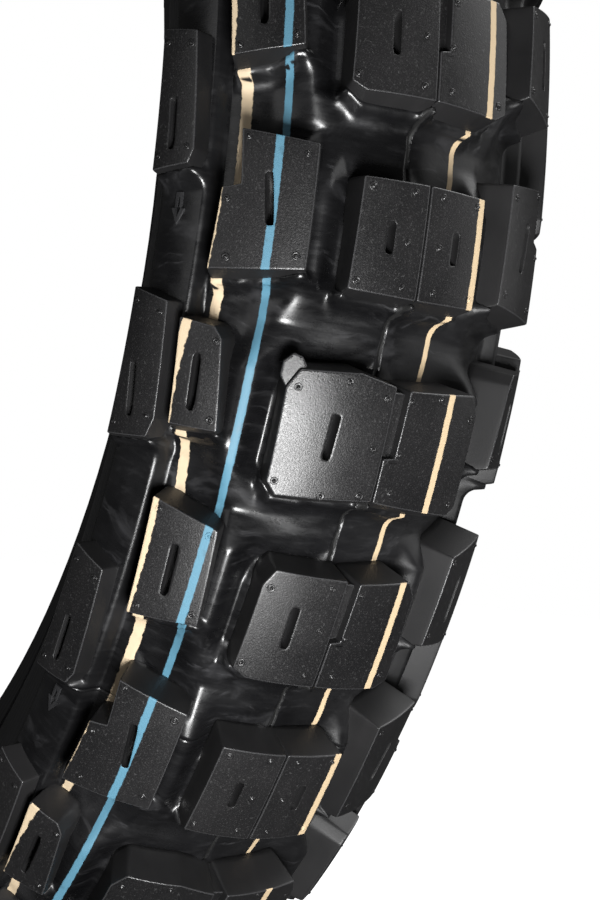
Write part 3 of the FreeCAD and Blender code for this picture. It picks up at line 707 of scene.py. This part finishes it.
def ventNibs():
    profile = np.array(nibProfile)
    places = np.array([nib for block in treadBlocks.values() for nib in block["nibs"]])
    s = np.repeat(places[:, 0], len(copyTurns))
    around = (places[:, 1][:, None] + copyTurns[None, :]).ravel()
    size = 0.85 + 0.3 * np.random.default_rng(7).random(len(s))
    spin = np.linspace(0.0, 2.0 * math.pi, nibSides, endpoint=False)
    radius = profile[:, 0][None, :, None] * size[:, None, None]
    sGrid = s[:, None, None] + radius * np.cos(spin)
    aGrid = around[:, None, None] + radius * np.sin(spin) / mmPerDegree
    depth = np.broadcast_to(-profile[:, 1][None, :, None], sGrid.shape)
    rings, count = len(profile), nibSides
    quads = ringQuads(rings, count)[:, ::-1]
    shifts = (np.arange(len(s)) * rings * count)[:, None, None]
    firstLoop, lastLoop = np.arange(count)[::-1], (rings - 1) * count + np.arange(count)
    caps = [tuple(loop + i * rings * count) for i in range(len(s)) for loop in (firstLoop, lastLoop)]
    flat = np.stack((sGrid, aGrid * mmPerDegree), axis=-1).reshape(-1, 2)
    ones = np.ones(sGrid.size)
    return makePiece(
        "vent_nibs", treadPlace(sGrid, aGrid, depth).reshape(-1, 3),
        (quads[None] + shifts).reshape(-1, 4), finishes["block"], (),
        dict(top=ones, rim=0.6 * ones), flat, caps,
    )


ventNibs()
print("vent nibs made")

# depths under the block tops, widths, and the mesh's steps; capAngle ends the cap ply's reach,
# within which the floor's underside lies at capUnder and beyond which at sideUnder
groove = dict(
    deck=11.6, rightDeck=13.4, pocket=14.0, pocketRun=8.6, shoulderDeck=12.2, saddle=6.5,
    ridge=6.6, inner=11.0, outer=7.0, seamStep=1.2, seamAt=-1.2, seamCut=1.1, seamWidth=0.75,
    backFillet=5.5, highest=2.0, capAngle=40.0, capUnder=15.0, sideUnder=17.2,
    acrossSteps=172, seamSteps=12, turnSteps=160, sectors=6,
)
# the crest of the ridge between the centre blocks and the next row, over one repeat
crestAngles = (-30.0, -27.0, -24.0, -19.0, -17.0, -14.5, -9.5, -7.0, -4.5, 0.0)
crestPlaces = (30.5, 34.0, 37.5, 37.5, 41.0, 45.5, 45.5, 38.0, 30.5, 30.5)
crestShares = (1.0, 0.35, 1.0, 1.0, 0.3, 1.0, 1.0, 0.35, 1.0, 1.0)
pockets = (
    ((-28.0, 0.9), (-25.0, 1.9), (0.0, 2.1), (0.0, -2.0), (-18.0, -2.0), (-19.0, -4.9), (-28.3, -5.2)),
    ((-41.0, -9.3), (-40.0, -8.8), (-32.3, -7.8), (-12.6, -7.5), (0.0, -7.7), (0.0, -11.0),
     (-30.0, -11.0), (-30.0, -15.2), (-35.5, -15.6), (-41.6, -14.9)),
    ((-35.5, -19.2), (-31.0, -18.0), (0.0, -17.7), (0.0, -21.0), (-24.0, -21.0),
     (-24.0, -24.8), (-30.0, -25.4), (-35.8, -25.0)),
    ((-66.0, -9.0), (-66.0, -6.6), (-52.0, -6.8), (-49.5, -8.8)),
    ((-57.0, 1.0), (-56.0, 3.6), (-32.0, 3.2), (-32.0, 1.0)),
    ((-63.0, -18.5), (-62.5, -16.1), (-40.0, -16.8), (-40.0, -19.0)),
)


# Distance from each place to the nearest side of an outline, less than nothing inside it, with
# the part along the turn of the direction away from that side.
def distanceTo(outline, s, w):
    points = anticlockwise(outline)
    best = np.full(s.shape, 1e9)
    forward = np.zeros(s.shape)
    inside = np.zeros(s.shape, dtype=bool)
    for a, b in zip(points, np.roll(points, -1, axis=0)):
        side = b - a
        share = np.clip(((s - a[0]) * side[0] + (w - a[1]) * side[1]) / side.dot(side), 0.0, 1.0)
        ds, dw = s - a[0] - share * side[0], w - a[1] - share * side[1]
        away = np.hypot(ds, dw)
        nearer = away < best
        best = np.where(nearer, away, best)
        forward = np.where(nearer, dw / np.maximum(away, 1e-6), forward)
        crosses = (a[1] > w) != (b[1] > w)
        rise = side[1] if side[1] != 0.0 else 1e-9
        inside ^= crosses & (s < a[0] + (w - a[1]) / rise * side[0])
    return np.where(inside, -best, best), forward


# Depth of the floor: a deck with a ridge r exp(-((|s| - crest) / width)^2) along each side,
# sunk pockets in front of the blocks, a quarter-round fillet up to the backs of the blocks, and
# a step with a thin groove e^(-(s/width)^2) where the two mould halves meet. That seam wanders
# by a product of two sines along the turn.
def floorDepth(s, around):
    w = around * mmPerDegree
    reach = np.abs(s)
    phase = -((-around) % period)
    crest = np.interp(phase, crestAngles, crestPlaces)
    share = np.interp(phase, crestAngles, crestShares)
    share = np.where(s > 0.0, np.maximum(share * 1.6 - 0.6, 0.1), share)
    width = np.where(reach < crest, groove["inner"], groove["outer"])
    ridge = share * groove["ridge"] * np.exp(-((reach - crest) / width) ** 2)
    fromSeam = s - groove["seamAt"] - 0.45 * np.sin(0.55 * w) * np.sin(0.21 * w + 1.0)
    fall = groove["rightDeck"] - groove["deck"] - groove["seamStep"]
    deck = groove["deck"] + groove["seamStep"] * ease(fromSeam, -0.2, 0.9)
    deck = deck + fall * ease(fromSeam, 4.0, 17.0)
    deck = deck + (groove["shoulderDeck"] - groove["deck"]) * ease(-s, 42.0, 50.0)
    deck = deck + (groove["saddle"] - groove["shoulderDeck"]) * ease(reach, 64.8, 67.6)
    depth = deck - ridge
    for outline in pockets:
        flat = flatPoints(outline)
        for side in (1.0, -1.0):
            for turn in (-period, 0.0, period):
                away, _ = distanceTo(flat * (side, 1.0) + (0.0, turn * mmPerDegree), s, w)
                sink = np.clip((0.4 - away) / groove["pocketRun"], 0.0, 1.0) ** 1.15
                depth = depth + (np.maximum(groove["pocket"], depth) - depth) * sink
    for block in treadBlocks.values():
        flat = flatPoints(block["outline"])
        for turn in (-period, 0.0, period):
            away, forward = distanceTo(flat + (0.0, turn * mmPerDegree), s, w)
            radius = groove["backFillet"] * ease(-forward, 0.2, 0.9)
            foot = away - leanOf(forward) * np.minimum(depth, walls["baseDepth"]) * 0.92
            t = np.clip(1.0 - foot / np.maximum(radius, 0.5), 0.0, 1.0)
            depth = depth - radius * (1.0 - np.sqrt(np.maximum(1.0 - t * t, 0.0))) * (away > 0.0)
    depth = depth + groove["seamCut"] * np.exp(-(fromSeam / groove["seamWidth"]) ** 2)
    return np.clip(depth, groove["highest"], walls["baseDepth"])


endReach = crownLength + tyre["shoulderRadius"] * math.radians(tyre["endAngle"] - tyre["crownAngle"])
capReach = tyre["crownRadius"] * math.radians(groove["capAngle"])


# The floor is a closed section carried round the wheel: the grid of depths on top and the
# inner face of the tread rubber below, in sectors with flat ends.
def grooveSector(name, start, replaced):
    even = np.linspace(-endReach, endReach, groove["acrossSteps"])
    nearSeam = groove["seamAt"] + np.linspace(-2.0, 2.0, groove["seamSteps"])
    across = np.unique(np.concatenate((even, nearSeam)))
    repeatsHere = tyre["repeats"] // groove["sectors"]
    turnCount = groove["turnSteps"]
    one = np.linspace(0.0, -period, turnCount, endpoint=False)
    s, around = np.meshgrid(across, one)
    depth = floorDepth(s, around)
    around = start - period * np.arange(repeatsHere)[:, None, None] + around[None]
    around = around.reshape(-1, len(across))
    depth = np.tile(depth, (repeatsHere, 1))
    around = np.vstack((around, np.full((1, len(across)), start - period * repeatsHere)))
    depth = np.vstack((depth, depth[:1]))
    underReach = across[::-4]
    inCap = np.abs(underReach) <= capReach
    under = np.where(inCap, groove["capUnder"], groove["sideUnder"])
    rows = around.shape[0]
    sRows = np.hstack((np.tile(across, (rows, 1)), np.tile(underReach, (rows, 1))))
    aRows = np.hstack((around, np.tile(around[:, :1], (1, len(underReach)))))
    dRows = np.hstack((depth, np.tile(under, (rows, 1))))
    columns = sRows.shape[1]
    row = np.arange(rows - 1)[:, None] * columns
    step = np.arange(columns)[None, :]
    following = (step + 1) % columns
    quads = np.stack(
        (row + step, row + columns + step, row + columns + following, row + following), axis=-1
    ).reshape(-1, 4)
    slope = np.hypot(
        np.gradient(depth, period * mmPerDegree / turnCount, axis=0),
        np.gradient(depth, across, axis=1),
    )
    level = np.hstack((1.0 - ease(slope, 1.3, 2.2), np.zeros((rows, len(underReach)))))
    caps = (tuple(range(columns)), tuple((rows - 1) * columns + i for i in range(columns))[::-1])
    return makePiece(
        name, treadPlace(sRows, aRows, dRows).reshape(-1, 3), quads, finishes["groove"],
        replaced, dict(level=level.ravel()),
        np.stack((sRows, aRows * mmPerDegree), axis=-1).reshape(-1, 2), caps,
    )


# the sectors together stand for every node of the groove floor
floorNodes = ("tread_base", "tread_lands", "tie_bars", "lug_saddles", "wear_indicator_bars")
for sector in range(groove["sectors"]):
    start = period - sector * 360.0 / groove["sectors"]
    grooveSector("tread_base_" + str(sector + 1), start, floorNodes)
print("groove floor made")

stageLook = dict(floorLevel=-0.3265, worldLight=0.05, backdrop=1.0, floorGlow=1.0)


def softLight(name, place, target, width, height, power):
    lamp = bpy.data.lights.new(name, "AREA")
    lamp.shape = "RECTANGLE"
    lamp.size = width
    lamp.size_y = height
    lamp.energy = power
    light = bpy.data.objects.new(name, lamp)
    light.location = place
    aim = np.array(target) - np.array(place)
    length = float(np.linalg.norm(aim))
    flat = math.atan2(aim[1], aim[0]) - math.pi / 2.0
    light.rotation_euler = (math.acos(-aim[2] / length), 0.0, flat)
    light.visible_camera = False
    bpy.context.scene.collection.objects.link(light)


# the backdrop looks white, but lights the rubber only softly
world = bpy.data.worlds.new("paleStudio")
world.use_nodes = True
worldTree = world.node_tree
softSky = worldTree.nodes["Background"]
softSky.inputs["Color"].default_value = (1.0, 1.0, 1.0, 1.0)
softSky.inputs["Strength"].default_value = stageLook["worldLight"]
whiteSky = worldTree.nodes.new("ShaderNodeBackground")
whiteSky.inputs["Color"].default_value = (1.0, 1.0, 1.0, 1.0)
whiteSky.inputs["Strength"].default_value = stageLook["backdrop"]
seen = worldTree.nodes.new("ShaderNodeLightPath")
blend = worldTree.nodes.new("ShaderNodeMixShader")
worldTree.links.new(seen.outputs["Is Camera Ray"], blend.inputs[0])
worldTree.links.new(softSky.outputs[0], blend.inputs[1])
worldTree.links.new(whiteSky.outputs[0], blend.inputs[2])
worldTree.links.new(blend.outputs[0], worldTree.nodes["World Output"].inputs["Surface"])
bpy.context.scene.world = world
bpy.context.scene.view_settings.view_transform = "Standard"

floorMesh = bpy.data.meshes.new("studioFloor")
floorReach = 6.0
floorMesh.from_pydata(
    [(x, y, stageLook["floorLevel"]) for x, y in (
        (-floorReach, -floorReach), (floorReach, -floorReach),
        (floorReach, floorReach), (-floorReach, floorReach))],
    [], [(0, 1, 2, 3)],
)
studioFloor = bpy.data.objects.new("studioFloor", floorMesh)
floorFinish = bpy.data.materials.new("palePaper")
floorFinish.use_nodes = True
paper = floorFinish.node_tree.nodes["Principled BSDF"].inputs
paper["Base Color"].default_value = (0.9, 0.9, 0.9, 1.0)
paper["Roughness"].default_value = 0.9
paper["Emission Color"].default_value = (1.0, 1.0, 1.0, 1.0)
paper["Emission Strength"].default_value = stageLook["floorGlow"]
floorMesh.materials.append(floorFinish)
bpy.context.scene.collection.objects.link(studioFloor)
studioFloor.visible_diffuse = False
studioFloor.visible_glossy = False
studioFloor.visible_shadow = False

softLight("frontBox", (0.70, -0.16, -0.27), (0.30, -0.03, -0.10), 0.15, 0.20, 4.8)
softLight("leftBox", (0.5, -1.3, 0.3), (0.28, 0.0, 0.0), 0.9, 0.9, 2.0)
softLight("rightBox", (0.7, 1.2, 0.35), (0.28, 0.0, 0.0), 0.7, 1.1, 2.5)
softLight("topBox", (0.5, 0.9, 1.2), (0.28, 0.0, 0.0), 0.9, 0.9, 14.0)

cameraLook = dict(
    place=(0.85301, -0.33769, -0.09123),
    right=(0.501, 0.85754, 0.11672),
    up=(-0.0318, -0.11654, 0.99268),
    back=(0.86487, -0.50104, -0.03111),
    lens=91.577,
)
cameraData = bpy.data.cameras.new("viewpoint")
cameraData.lens = cameraLook["lens"]
cameraData.sensor_width = 36.0
cameraData.clip_start = 0.01
viewpoint = bpy.data.objects.new("viewpoint", cameraData)
turnRows = np.eye(4)
for column, axisName in enumerate(("right", "up", "back")):
    turnRows[:3, column] = cameraLook[axisName]
turnRows[:3, 3] = cameraLook["place"]
viewpoint.matrix_world = Matrix([list(map(float, row)) for row in turnRows])
bpy.context.scene.collection.objects.link(viewpoint)
bpy.context.scene.camera = viewpoint
print("stage and camera set")
